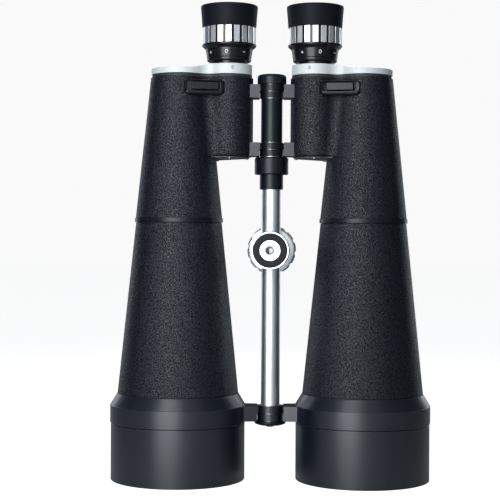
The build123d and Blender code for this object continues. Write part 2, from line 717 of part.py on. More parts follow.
def save_half(side):
    """Writes every node of one barrel and its eyepiece."""
    upper_bed = (OBJECTIVE_X, UPPER_PRISM_Z, False)
    lower_bed = (EYE_X, LOWER_PRISM_Z, True)
    straps = [on_light_path(prism_strap(), *upper_bed), on_light_path(prism_strap(), *lower_bed)]
    pieces = {
        "prism_housing": prism_housing(side),
        "housing_skin": housing_skin(),
        "strap_lug": strap_lug(),
        "eyepiece_plate": eyepiece_plate(),
        "plate_screws": plate_screws(),
        "shelf_plate": shelf_plate(),
        "prism_shelf": prism_shelf(),
        "upper_prism": on_light_path(porro_prism(), *upper_bed),
        "lower_prism": on_light_path(porro_prism(), *lower_bed),
        "prism_straps": Compound(children=straps),
        "objective_tube": objective_tube(),
        "tube_skin": tube_skin(),
        "objective_collar": objective_collar(side),
        "objective_hood": objective_hood(),
        "crown_lens": crown_lens(),
        "flint_lens": flint_lens(),
        "lens_retainer": lens_retainer(),
        "eyepiece_base": eyepiece_base(),
        "ocular_barrel": ocular_barrel(),
        "ocular_lenses": ocular_lenses(),
        "focus_ring": focus_ring(),
        "grip_ring": grip_ring(),
        "eyecup": eyecup(),
    }
    for name, shape in pieces.items():
        save(mirror(shape, about=Plane.YZ) if side == "left" else shape, f"{side}_{name}")


for half in ("left", "right"):
    save_half(half)

for piece in (
    hinge_axle, hinge_tube, hinge_cap, tension_collar, rod_sleeve, support_rod, foot_cap, hinge_washers,
    mount_liner,
):
    save(piece(), piece.__name__)

for piece in (mount_post, tripod_bushing, friction_ring, clamp_shoe, clamp_knob):
    save(Rot(0, 0, -POST_TURN) * piece(), piece.__name__)
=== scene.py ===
from math import cos, hypot, radians, sin

import bpy
from mathutils import Matrix, Vector


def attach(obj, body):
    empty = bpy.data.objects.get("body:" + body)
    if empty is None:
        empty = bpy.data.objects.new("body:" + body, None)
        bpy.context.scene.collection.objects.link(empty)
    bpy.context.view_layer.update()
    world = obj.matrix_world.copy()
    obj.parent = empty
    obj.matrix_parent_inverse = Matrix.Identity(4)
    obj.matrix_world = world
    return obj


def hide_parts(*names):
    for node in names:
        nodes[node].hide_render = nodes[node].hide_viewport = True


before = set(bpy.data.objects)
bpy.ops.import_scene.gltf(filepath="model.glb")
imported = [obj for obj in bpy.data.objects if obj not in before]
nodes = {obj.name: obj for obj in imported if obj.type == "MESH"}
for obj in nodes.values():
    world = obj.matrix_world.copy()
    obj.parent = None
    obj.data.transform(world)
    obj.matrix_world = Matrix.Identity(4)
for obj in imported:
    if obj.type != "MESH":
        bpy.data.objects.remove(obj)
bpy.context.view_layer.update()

MM = 0.001
SIDES = (("left", -1), ("right", 1))

# ---- Table and light ---------------------------------------------------------------------------
# The binoculars stand on a plain white table, which glows a little so that it stays pale as far as
# the eye sees. A tall soft light in front on the left does most of the work; wide dim ones fill in.
scene = bpy.context.scene
scene.view_settings.view_transform = "Standard"


def deselect():
    """Leaves edit mode and clears the selection."""
    if bpy.context.object and bpy.context.object.mode != "OBJECT":
        bpy.ops.object.mode_set(mode="OBJECT")
    bpy.ops.object.select_all(action="DESELECT")


def plain_nodes(material):
    """Node tree of a new material, with its Principled shader."""
    material.use_nodes = True
    tree = material.node_tree
    return tree, tree.nodes["Principled BSDF"]


deselect()
bpy.ops.mesh.primitive_plane_add(size=12.0, location=(0, 3.0, -0.0003))
table = bpy.context.object
table.name = "table"
table_white = bpy.data.materials.new("table white")
tree, shader = plain_nodes(table_white)
shader.inputs["Base Color"].default_value = (0.55, 0.55, 0.56, 1)
shader.inputs["Roughness"].default_value = 0.75
shader.inputs["Specular IOR Level"].default_value = 0.1
shader.inputs["Emission Color"].default_value = (1, 1, 1, 1)
seen = tree.nodes.new("ShaderNodeLightPath")
glow = tree.nodes.new("ShaderNodeMath")
glow.operation = "MULTIPLY"
glow.inputs[1].default_value = 0.90
tree.links.new(seen.outputs["Is Camera Ray"], glow.inputs[0])
tree.links.new(glow.outputs[0], shader.inputs["Emission Strength"])
table.data.materials.append(table_white)

world = bpy.data.worlds.new("studio")
scene.world = world
world.use_nodes = True
tree = world.node_tree
tree.nodes.clear()
output = tree.nodes.new("ShaderNodeOutputWorld")
mix = tree.nodes.new("ShaderNodeMixShader")
path = tree.nodes.new("ShaderNodeLightPath")
room = tree.nodes.new("ShaderNodeBackground")
wall = tree.nodes.new("ShaderNodeBackground")
room.inputs["Color"].default_value = (0.80, 0.88, 1.0, 1)
room.inputs["Strength"].default_value = 0.09
wall.inputs["Color"].default_value = (1, 1, 1, 1)
wall.inputs["Strength"].default_value = 0.95
tree.links.new(path.outputs["Is Camera Ray"], mix.inputs["Fac"])
tree.links.new(room.outputs["Background"], mix.inputs[1])
tree.links.new(wall.outputs["Background"], mix.inputs[2])
tree.links.new(mix.outputs["Shader"], output.inputs["Surface"])


def soft_light(name, place, target, width, height, watts, colour=(1, 1, 1)):
    """Rectangular soft light that faces the target."""
    lamp = bpy.data.lights.new(name, "AREA")
    lamp.shape = "RECTANGLE"
    lamp.size, lamp.size_y = width, height
    lamp.energy = watts
    lamp.color = colour
    light = bpy.data.objects.new(name, lamp)
    scene.collection.objects.link(light)
    light.location = place
    light.rotation_euler = (Vector(target) - Vector(place)).to_track_quat("-Z", "Y").to_euler()
    return light


soft_light("key", (-0.21, -0.56, 0.24), (0.0, 0.0, 0.20), 0.36, 0.95, 8.2, (0.90, 0.95, 1.0))
soft_light("front", (0.02, -1.40, 0.35), (0.0, 0.0, 0.20), 2.05, 1.2, 5.0, (0.90, 0.95, 1.0))
soft_light("left", (-0.85, -0.42, 0.30), (0.0, 0.0, 0.20), 0.7, 1.0, 0.3, (0.88, 0.94, 1.0))
soft_light("fill", (0.95, -0.55, 0.30), (0.0, 0.0, 0.20), 0.5, 1.1, 0.35, (0.85, 0.92, 1.0))
soft_light("overhead", (0.0, -0.25, 1.35), (0.0, 0.0, 0.20), 1.4, 1.2, 2.2)
soft_light("back left", (-0.62, 0.80, 0.40), (0.0, 0.0, 0.20), 0.35, 1.0, 1.8, (0.85, 0.93, 1.0))
soft_light("back right", (0.62, 0.80, 0.40), (0.0, 0.0, 0.20), 0.35, 1.0, 1.8, (0.85, 0.93, 1.0))

lens_mm, sensor_mm, distance, eye_height = 98.6, 36.0, 1.129, 0.198
camera_data = bpy.data.cameras.new("camera")
camera_data.lens = lens_mm
camera_data.sensor_width = sensor_mm
camera_data.shift_x = -0.0012
camera_data.shift_y = -0.024
camera = bpy.data.objects.new("camera", camera_data)
scene.collection.objects.link(camera)
camera.location = (-0.0169, -distance, eye_height)
level_gaze = Matrix.Rotation(radians(90), 3, "X") @ Matrix.Rotation(radians(0.33), 3, "Z")
camera.rotation_euler = level_gaze.to_euler()
scene.camera = camera


# ---- Objective hoods ---------------------------------------------------------------------------
# Smooth turned aluminium tubes sprayed satin black, with a few fine baffle grooves inside. Each
# screws over the collar and leaves a hairline joint. The whole object stands on their rims.
def turned(name, x, profile, segments=128):
    """Ring turned about a vertical axis through x. The profile is a closed run of (radius, height),
    in millimetres."""
    deselect()
    radius, height = profile[0]
    spot = (x * MM, 0, height * MM)
    bpy.ops.mesh.primitive_circle_add(vertices=segments, radius=radius * MM, location=spot)
    piece = bpy.context.object
    piece.name = name
    bpy.ops.object.transform_apply(location=True, rotation=True, scale=True)
    bpy.ops.object.mode_set(mode="EDIT")
    bpy.ops.mesh.select_all(action="SELECT")
    for next_radius, next_height in profile[1:] + profile[:1]:
        rise = (0, 0, (next_height - height) * MM)
        bpy.ops.mesh.extrude_region_move(TRANSFORM_OT_translate={"value": rise})
        grow = next_radius / radius
        centre = (x * MM, 0, next_height * MM)
        bpy.ops.transform.resize(value=(grow, grow, 1), center_override=centre)
        radius, height = next_radius, next_height
    bpy.ops.mesh.select_all(action="SELECT")
    bpy.ops.mesh.remove_doubles(threshold=1e-6)
    bpy.ops.mesh.normals_make_consistent(inside=False)
    bpy.ops.object.mode_set(mode="OBJECT")
    return piece


def modify(piece, kind, **settings):
    """Adds one modifier and applies it."""
    deselect()
    piece.select_set(True)
    bpy.context.view_layer.objects.active = piece
    modifier = piece.modifiers.new(kind.lower(), kind)
    for key, value in settings.items():
        setattr(modifier, key, value)
    bpy.ops.object.modifier_apply(modifier=modifier.name)


def soften(piece, width, steps=3, angle=30):
    """Rounds the sharp edges of a piece and smooths the rest."""
    modify(piece, "BEVEL", width=width * MM, segments=steps, limit_method="ANGLE",
           angle_limit=radians(angle), use_clamp_overlap=True)
    smooth(piece)


def smooth(piece, angle=40):
    """Smooth shading that keeps flat faces flat."""
    deselect()
    piece.select_set(True)
    bpy.context.view_layer.objects.active = piece
    bpy.ops.object.shade_smooth_by_angle(angle=radians(angle))
    modify(piece, "WEIGHTED_NORMAL", keep_sharp=True)


def fit(piece, body, slot, material, *replaced):
    """Gives a finished piece its material and fixes it to the body it moves with."""
    piece.data.materials.clear()
    piece.data.materials.append(material)
    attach(piece, body)
    if replaced:
        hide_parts(*replaced)
    return piece


def coordinates(tree):
    """Place on the piece, in metres."""
    return tree.nodes.new("ShaderNodeTexCoord").outputs["Object"]


def new_group(name, inputs, outputs):
    """Empty node group with numbered inputs and named outputs."""
    group = bpy.data.node_groups.new(name, "ShaderNodeTree")
    for label, value in inputs.items():
        socket = group.interface.new_socket(label, in_out="INPUT", socket_type="NodeSocketFloat")
        socket.default_value = value
    for label, kind in outputs.items():
        group.interface.new_socket(label, in_out="OUTPUT", socket_type=kind)
    return group, group.nodes.new("NodeGroupInput"), group.nodes.new("NodeGroupOutput")


def node(tree, kind, links=(), **settings):
    """One node with its settings, its plain values and its incoming links."""
    made = tree.nodes.new(kind)
    for key, value in settings.items():
        setattr(made, key, value)
    for socket, source in links:
        if isinstance(source, bpy.types.NodeSocket):
            tree.links.new(source, made.inputs[socket])
        else:
            made.inputs[socket].default_value = source
    return made


# Sprayed paint: a faint orange peel in the height, and slow patches in the gloss.
sprayed, group_in, group_out = new_group(
    "sprayed paint", {"Peel": 1.0, "Patches": 1.0},
    {"Height": "NodeSocketFloat", "Gloss": "NodeSocketFloat", "Tone": "NodeSocketFloat"})
place = coordinates(sprayed)
peel = node(sprayed, "ShaderNodeTexNoise", [("Vector", place), ("Scale", 900.0), ("Detail", 2.0)])
patch = node(sprayed, "ShaderNodeTexNoise", [("Vector", place), ("Scale", 38.0), ("Detail", 4.0)])
speck = node(sprayed, "ShaderNodeTexNoise", [("Vector", place), ("Scale", 2600.0), ("Detail", 1.0)])
height = node(sprayed, "ShaderNodeMath", [(0, peel.outputs["Fac"]), (1, group_in.outputs["Peel"])],
              operation="MULTIPLY")
centred = node(sprayed, "ShaderNodeMath", [(0, patch.outputs["Fac"]), (1, 0.5)], operation="SUBTRACT")
gloss = node(sprayed, "ShaderNodeMath",
             [(0, centred.outputs[0]), (1, group_in.outputs["Patches"])], operation="MULTIPLY")
tone = node(sprayed, "ShaderNodeMapRange", [("Value", speck.outputs["Fac"]), ("From Min", 0.35),
            ("From Max", 0.65), ("To Min", 0.8), ("To Max", 1.2)])
sprayed.links.new(height.outputs[0], group_out.inputs["Height"])
sprayed.links.new(gloss.outputs[0], group_out.inputs["Gloss"])
sprayed.links.new(tone.outputs["Result"], group_out.inputs["Tone"])


def painted(name, colour, roughness, peel=1.0, patches=0.12, depth=0.02, metallic=0.0, speckle=0.25,
            edge=0.0, sheen=0.5):
    """Sprayed finish. Edge is the radius, in millimetres, that the paint gives to sharp corners."""
    material = bpy.data.materials.new(name)
    tree, shader = plain_nodes(material)
    spray = tree.nodes.new("ShaderNodeGroup")
    spray.node_tree = sprayed
    spray.inputs["Peel"].default_value = peel
    spray.inputs["Patches"].default_value = patches
    rough = node(tree, "ShaderNodeMath", [(0, spray.outputs["Gloss"]), (1, roughness)], operation="ADD")
    dark = tuple(c * (1 - speckle) for c in colour) + (1,)
    light = tuple(min(1, c * (1 + speckle)) for c in colour) + (1,)
    tone = node(tree, "ShaderNodeMapRange", [("Value", spray.outputs["Tone"]), ("From Min", 0.8),
                ("From Max", 1.2)])
    blend = node(tree, "ShaderNodeMix", [("Factor", tone.outputs["Result"]), (6, dark), (7, light)],
                 data_type="RGBA")
    bump = node(tree, "ShaderNodeBump", [("Height", spray.outputs["Height"]), ("Distance", depth * MM),
                ("Strength", 0.6)])
    if edge:
        corner = node(tree, "ShaderNodeBevel", [("Radius", edge * MM)], samples=4)
        tree.links.new(corner.outputs["Normal"], bump.inputs["Normal"])
    tree.links.new(blend.outputs[2], shader.inputs["Base Color"])
    tree.links.new(rough.outputs[0], shader.inputs["Roughness"])
    tree.links.new(bump.outputs["Normal"], shader.inputs["Normal"])
    shader.inputs["Metallic"].default_value = metallic
    shader.inputs["Specular IOR Level"].default_value = sheen
    return material


satin_black = painted("satin black paint", (0.0025, 0.0040, 0.0080), 0.33, edge=0.35, sheen=0.66)
barrel_x = 76.0
hood_r, hood_top, hood_bore = 55.0, 46.5, 52.6
top_groove, groove_pitch, groove_depth = 31.4, 3.4, 0.7
groove_r = hood_bore + groove_depth
for side, sign in SIDES:
    baffles = []
    for ring in range(9):
        low = top_groove - groove_pitch * ring
        baffles += [(hood_bore, low + 1.8), (groove_r, low + 1.3), (groove_r, low + 0.5),
                    (hood_bore, low)]
    outline = [(groove_r, 0.0), (hood_r, 0.0), (hood_r, hood_top), (hood_bore, hood_top)]
    hood = turned(f"{side}_hood_tube", sign * barrel_x, outline + baffles + [(hood_bore, 0.7)])
    soften(hood, 0.35)
    fit(hood, f"{side}_half", "satin_black_metal", satin_black, f"{side}_objective_hood")


# ---- Objective lenses and their ring -----------------------------------------------------------
# Two cemented glasses per barrel with a blue-green coating, held from below by a thin black
# screwed ring. Only the front glass is seen, deep inside the hood.
def ground_glass(name, colour, film):
    """Polished glass with a thin coating, in nanometres."""
    material = bpy.data.materials.new(name)
    tree, shader = plain_nodes(material)
    smear = node(tree, "ShaderNodeTexNoise",
                 [("Vector", coordinates(tree)), ("Scale", 45.0), ("Detail", 3.0)])
    rough = node(tree, "ShaderNodeMapRange", [("Value", smear.outputs["Fac"]), ("From Min", 0.4),
                 ("From Max", 0.8), ("To Min", 0.0), ("To Max", 0.05)])
    tree.links.new(rough.outputs["Result"], shader.inputs["Roughness"])
    shader.inputs["Base Color"].default_value = colour + (1,)
    shader.inputs["Transmission Weight"].default_value = 1.0
    shader.inputs["IOR"].default_value = 1.52
    shader.inputs["Thin Film Thickness"].default_value = film
    shader.inputs["Thin Film IOR"].default_value = 1.38
    return material


coated_glass = ground_glass("coated glass", (0.86, 0.95, 0.93), 480.0)
plain_glass = ground_glass("plain glass", (0.97, 0.98, 0.98), 0.0)
inner_black = painted("anti-reflection black", (0.010, 0.010, 0.011), 0.62, depth=0.03)


def finish_node(name, material):
    """Gives a CAD node its material."""
    mesh = nodes[name].data
    mesh.materials.clear()
    mesh.materials.append(material)


for side, sign in SIDES:
    finish_node(f"{side}_crown_lens", coated_glass)
    finish_node(f"{side}_flint_lens", plain_glass)
    finish_node(f"{side}_lens_retainer", satin_black)
    finish_node(f"{side}_objective_tube", inner_black)


# ---- Objective collars with the foot hinge arms ------------------------------------------------
# Cast aluminium rings, turned outside and sprayed satin black. Each seats the lenses, carries
# the tube, and reaches to the lower hinge with a flat arm.
for side, sign in SIDES:
    finish_node(f"{side}_objective_collar", satin_black)


# ---- Barrel coverings --------------------------------------------------------------------------
# Thin vinyl with a fine pebble grain, blue-black, glued round the tube and the prism housing.
# The grain is irregular, about 0.6 mm across, with glossy crowns and dull pits darkened as painted shade.
pebbled, group_in, group_out = new_group(
    "pebble grain", {"Pebbles per metre": 1600.0},
    {"Height": "NodeSocketFloat", "Crown": "NodeSocketFloat"})
place = coordinates(pebbled)
drift = node(pebbled, "ShaderNodeTexNoise", [("Vector", place), ("Scale", 320.0), ("Detail", 2.0)])
warp = node(pebbled, "ShaderNodeVectorMath", [(0, drift.outputs["Color"]), ("Scale", 0.0014)],
            operation="SCALE")
bent = node(pebbled, "ShaderNodeVectorMath", [(0, place), (1, warp.outputs[0])], operation="ADD")
cells = node(pebbled, "ShaderNodeTexVoronoi",
             [("Vector", bent.outputs[0]), ("Scale", group_in.outputs["Pebbles per metre"]),
              ("Randomness", 1.0)], feature="SMOOTH_F1")
dome = node(pebbled, "ShaderNodeMapRange", [("Value", cells.outputs["Distance"]), ("From Min", 0.12),
            ("From Max", 0.62), ("To Min", 1.0), ("To Max", 0.0)], interpolation_type="SMOOTHSTEP")
pores = node(pebbled, "ShaderNodeTexNoise", [("Vector", place), ("Scale", 2300.0), ("Detail", 2.0)])
fine = node(pebbled, "ShaderNodeMath", [(0, pores.outputs["Fac"]), (1, 0.35)], operation="MULTIPLY")
total = node(pebbled, "ShaderNodeMath", [(0, dome.outputs["Result"]), (1, fine.outputs[0])],
             operation="ADD")
pebbled.links.new(total.outputs[0], group_out.inputs["Height"])
pebbled.links.new(dome.outputs["Result"], group_out.inputs["Crown"])

covering = bpy.data.materials.new("pebbled covering")
tree, shader = plain_nodes(covering)
grain = tree.nodes.new("ShaderNodeGroup")
grain.node_tree = pebbled
# The pits take a darker colour than the crowns: painted shade in the hollows of the grain.
colour = node(tree, "ShaderNodeMix", [("Factor", grain.outputs["Crown"]), (6, (0.0018, 0.0024, 0.0042, 1)),
              (7, (0.006, 0.008, 0.013, 1))], data_type="RGBA")
rough = node(tree, "ShaderNodeMapRange", [("Value", grain.outputs["Crown"]), ("To Min", 0.55),
             ("To Max", 0.30)])
bump = node(tree, "ShaderNodeBump", [("Height", grain.outputs["Height"]), ("Distance", 0.20 * MM),
            ("Strength", 0.85)])
corner = node(tree, "ShaderNodeBevel", [("Radius", 0.9 * MM)], samples=4)
sheen = node(tree, "ShaderNodeMapRange", [("Value", grain.outputs["Crown"]), ("To Min", 0.10),
             ("To Max", 0.55)])
tree.links.new(sheen.outputs["Result"], shader.inputs["Specular IOR Level"])
tree.links.new(corner.outputs["Normal"], bump.inputs["Normal"])
tree.links.new(colour.outputs[2], shader.inputs["Base Color"])
tree.links.new(rough.outputs["Result"], shader.inputs["Roughness"])
tree.links.new(bump.outputs["Normal"], shader.inputs["Normal"])

for side, sign in SIDES:
    finish_node(f"{side}_tube_skin", covering)
    finish_node(f"{side}_housing_skin", covering)


# ---- Prism housings ----------------------------------------------------------------------------
# Die-cast alloy, sprayed a dark grey that is partly the paint's own tone and partly a painted
# reflection of the light that the flat faces of the hinge arms catch. The knuckles round the
# axle and the ridge at the foot are gloss black, and the rim under the eyepiece plate is dull black.
def copied(cad_node, name, flatten=0.6):
    """Merged copy of a CAD node, with flat areas in one face, ready to have its edges rounded."""
    deselect()
    piece = bpy.data.objects.new(name, nodes[cad_node].data.copy())
    scene.collection.objects.link(piece)
    piece.select_set(True)
    bpy.context.view_layer.objects.active = piece
    bpy.ops.mesh.customdata_custom_splitnormals_clear()
    bpy.ops.object.mode_set(mode="EDIT")
    bpy.ops.mesh.select_all(action="SELECT")
    bpy.ops.mesh.remove_doubles(threshold=2e-6)
    if flatten:
        bpy.ops.mesh.dissolve_limited(angle_limit=radians(flatten))
    bpy.ops.object.mode_set(mode="OBJECT")
    return piece


def gloss_round_axle(piece, reach):
    """Gives the faces within reach of the hinge axis the gloss black of the knuckles."""
    piece.data.materials.append(gloss_black)
    for face in piece.data.polygons:
        face.material_index = 1 if hypot(face.center.x, face.center.y) < reach * MM else 0


def darken_ends(piece):
    """Makes the ridge at the foot gloss black and the rim under the plate dull black."""
    piece.data.materials.append(inner_black)
    for face in piece.data.polygons:
        if face.center.z < ridge_top * MM:
            face.material_index = 1
        elif face.center.z > rim_foot * MM:
            face.material_index = 2


knuckle_r, ridge_top, rim_foot = 10.3, 225, 327
gloss_black = painted("gloss black paint", (0.0025, 0.0035, 0.006), 0.36, sheen=0.27, peel=0.6, edge=0.3)
# The grey of this paint is partly a painted reflection: it lightens the flat faces of the hinge arms.
casting_paint_with_reflection = painted("dark grey cast metal paint with painted reflection", (0.034, 0.037, 0.042), 0.55, peel=1.2, depth=0.03, edge=0.4)
sheet_metal = painted("bare sheet metal", (0.42, 0.43, 0.44), 0.38, metallic=1.0, speckle=0.05)
for side, sign in SIDES:
    housing = copied(f"{side}_prism_housing", f"{side}_housing_casting", flatten=0)
    smooth(housing, 30)
    fit(housing, f"{side}_half", "black_casting", casting_paint_with_reflection, f"{side}_prism_housing")
    gloss_round_axle(housing, knuckle_r)
    darken_ends(housing)
    finish_node(f"{side}_prism_shelf", sheet_metal)
    finish_node(f"{side}_prism_straps", sheet_metal)
    finish_node(f"{side}_upper_prism", plain_glass)
    finish_node(f"{side}_lower_prism", plain_glass)


# ---- Eyepiece plates ---------------------------------------------------------------------------
# Pressed covers in satin silver paint, stepped down towards the barrel, with rounded edges and
# three countersunk screws. A small dark oval ring in front is the index of the focus scale.
silver_paint = painted("silver paint", (0.46, 0.48, 0.48), 0.55, peel=0.8, metallic=0.12,
                       speckle=0.10, depth=0.015)
screw_steel = painted("screw steel", (0.36, 0.36, 0.37), 0.34, metallic=1.0, speckle=0.08)
eye_x = 35.4
plate_front, index_height = 18.9, 336.6
for side, sign, index in (("left", -1, 9.4), ("right", 1, -16.6)):
    plate = copied(f"{side}_eyepiece_plate", f"{side}_silver_plate")
    soften(plate, 0.7)
    deselect()
    spot = ((sign * eye_x + plate_front * sin(radians(index))) * MM,
            -plate_front * cos(radians(index)) * MM, index_height * MM)
    bpy.ops.mesh.primitive_torus_add(major_radius=0.75 * MM, minor_radius=0.2 * MM, major_segments=28,
                                     minor_segments=8, location=spot,
                                     rotation=(radians(90), 0, radians(index)))
    bpy.ops.object.transform_apply(location=True, rotation=True, scale=True)
    bpy.ops.transform.resize(value=(1, 1, 1.5), center_override=spot)
    index_mark = bpy.context.object
    index_mark.name = f"{side}_index_mark"
    bpy.ops.object.transform_apply(location=True, rotation=True, scale=True)
    smooth(index_mark)
    fit(index_mark, f"{side}_half", "black_casting", casting_paint_with_reflection)
    fit(plate, f"{side}_half", "silver_plate", silver_paint, f"{side}_eyepiece_plate")
    finish_node(f"{side}_shelf_plate", casting_paint_with_reflection)
    finish_node(f"{side}_plate_screws", screw_steel)


# ---- Strap lugs --------------------------------------------------------------------------------
# Small black die-cast frames let into the hollow of each housing. A rounded bar crosses the pocket
# in each, bent in at both ends, and the neck strap threads behind it.
def box(name, size, place, turn=0.0, round_off=0.0, steps=2, lean=0.0):
    """Block of the given size, in millimetres, leant forwards and turned about the vertical."""
    deselect()
    spot = tuple(v * MM for v in place)
    bpy.ops.mesh.primitive_cube_add(size=1.0, location=spot)
    piece = bpy.context.object
    piece.name = name
    piece.scale = tuple(v * MM for v in size)
    piece.rotation_euler = (radians(lean), 0, radians(turn))
    bpy.ops.object.transform_apply(location=True, rotation=True, scale=True)
    if round_off:
        modify(piece, "BEVEL", width=round_off * MM, segments=steps, limit_method="ANGLE",
               angle_limit=radians(30))
    return piece


def joined(name, pieces):
    """Several pieces made into one object."""
    deselect()
    for piece in pieces:
        piece.select_set(True)
    bpy.context.view_layer.objects.active = pieces[0]
    bpy.ops.object.join()
    pieces[0].name = name
    smooth(pieces[0])
    return pieces[0]


def rounded_block(name, size, place, turn, corner):
    """Block whose four front-to-back edges are well rounded."""
    piece = box(name, size, (0, 0, 0))
    for edge in piece.data.edges:
        a, b = (piece.data.vertices[v].co for v in edge.vertices)
        edge.select = abs(a.y - b.y) > 0.4 * size[1] * MM
    bpy.ops.object.mode_set(mode="EDIT")
    bpy.ops.mesh.select_mode(type="EDGE")
    bpy.ops.mesh.bevel(offset=corner * MM, segments=8, affect="EDGES")
    bpy.ops.mesh.select_all(action="SELECT")
    bpy.ops.mesh.normals_make_consistent(inside=False)
    bpy.ops.object.mode_set(mode="OBJECT")
    piece.rotation_euler = (0, 0, radians(turn))
    piece.location = tuple(v * MM for v in place)
    bpy.ops.object.transform_apply(location=True, rotation=True, scale=True)
    return piece


def cut(piece, tool):
    """Takes one piece out of another."""
    modify(piece, "BOOLEAN", operation="DIFFERENCE", object=tool, solver="EXACT")
    bpy.data.objects.remove(tool)


lug_start, lug_front, lug_slope, lug_turn = 38.8, -21.55, 0.1491, 8.48
lug_middle, bar_height = 55.2, 321.0


def on_face(sign, x, depth, z):
    """Point on the sloping face of a lug, a given depth behind it."""
    return (sign * x, lug_front - (x - lug_start) * lug_slope + depth, z)


for side, sign in SIDES:
    turn = -sign * lug_turn
    frame_body = rounded_block("frame", (33.0, 9.0, 12.6), on_face(sign, lug_middle, 4.4, 319.9),
                               turn, 3.2)
    cut(frame_body, rounded_block("pocket", (29.4, 12.0, 8.1), on_face(sign, lug_middle, 1.0, 320.9),
                                  turn, 1.6))
    soften(frame_body, 0.5)
    bar = box("bar", (22.0, 1.7, 6.2), on_face(sign, 54.4, 0.75, bar_height), turn, 0.55, 3)
    legs = [box("leg", (1.6, 5.2, 6.0), on_face(sign, x, 3.0, bar_height), turn, 0.4)
            for x in (44.4, 64.4)]
    lug = joined(f"{side}_strap_frame", [frame_body, bar] + legs)
    fit(lug, f"{side}_half", "satin_black_metal", gloss_black, f"{side}_strap_lug")


# ---- Eyepieces ---------------------------------------------------------------------------------
# Each has a black focus ring with a white-marked skirt and a flange, which turns on a threaded
# base. Twenty bright lands are let into its black grip, and a rubber cup is pulled over the top.
def round_place(x, radius, angle, z):
    """Point on a vertical cylinder, with the angle in degrees from the front towards +X."""
    return (x + radius * sin(radians(angle)), -radius * cos(radians(angle)), z)


# Drawn or turned lines: stretched noise along one axis, in metres.
lined, group_in, group_out = new_group(
    "machining lines", {"Along X": 1.0, "Along Y": 1.0, "Along Z": 0.02}, {"Lines": "NodeSocketFloat"})
stretch = node(lined, "ShaderNodeCombineXYZ", [("X", group_in.outputs["Along X"]),
               ("Y", group_in.outputs["Along Y"]), ("Z", group_in.outputs["Along Z"])])
along = node(lined, "ShaderNodeVectorMath", [(0, coordinates(lined)), (1, stretch.outputs[0])],
             operation="MULTIPLY")
streaks = node(lined, "ShaderNodeTexNoise", [("Vector", along.outputs[0]), ("Scale", 2200.0),
               ("Detail", 3.0), ("Roughness", 0.6)])
lined.links.new(streaks.outputs["Fac"], group_out.inputs["Lines"])


def machined(name, colour, roughness, lines=(1.0, 1.0, 0.02), depth=0.02, contrast=0.12):
    """Bare metal with fine machining lines."""
    material = bpy.data.materials.new(name)
    tree, shader = plain_nodes(material)
    cut = tree.nodes.new("ShaderNodeGroup")
    cut.node_tree = lined
    for label, value in zip(("Along X", "Along Y", "Along Z"), lines):
        cut.inputs[label].default_value = value
    span = node(tree, "ShaderNodeMapRange", [("Value", cut.outputs["Lines"]), ("From Min", 0.35),
                ("From Max", 0.65)])
    low = tuple(c * (1 - contrast) for c in colour) + (1,)
    blend = node(tree, "ShaderNodeMix", [("Factor", span.outputs["Result"]), (6, low),
                 (7, colour + (1,))], data_type="RGBA")
    rough = node(tree, "ShaderNodeMapRange", [("Value", cut.outputs["Lines"]), ("From Min", 0.3),
                 ("From Max", 0.7), ("To Min", roughness - 0.05), ("To Max", roughness + 0.07)])
    bump = node(tree, "ShaderNodeBump", [("Height", cut.outputs["Lines"]), ("Distance", depth * MM),
                ("Strength", 0.5)])
    corner = node(tree, "ShaderNodeBevel", [("Radius", 0.25 * MM)], samples=4)
    tree.links.new(corner.outputs["Normal"], bump.inputs["Normal"])
    tree.links.new(blend.outputs[2], shader.inputs["Base Color"])
    tree.links.new(rough.outputs["Result"], shader.inputs["Roughness"])
    tree.links.new(bump.outputs["Normal"], shader.inputs["Normal"])
    shader.inputs["Metallic"].default_value = 1.0
    return material


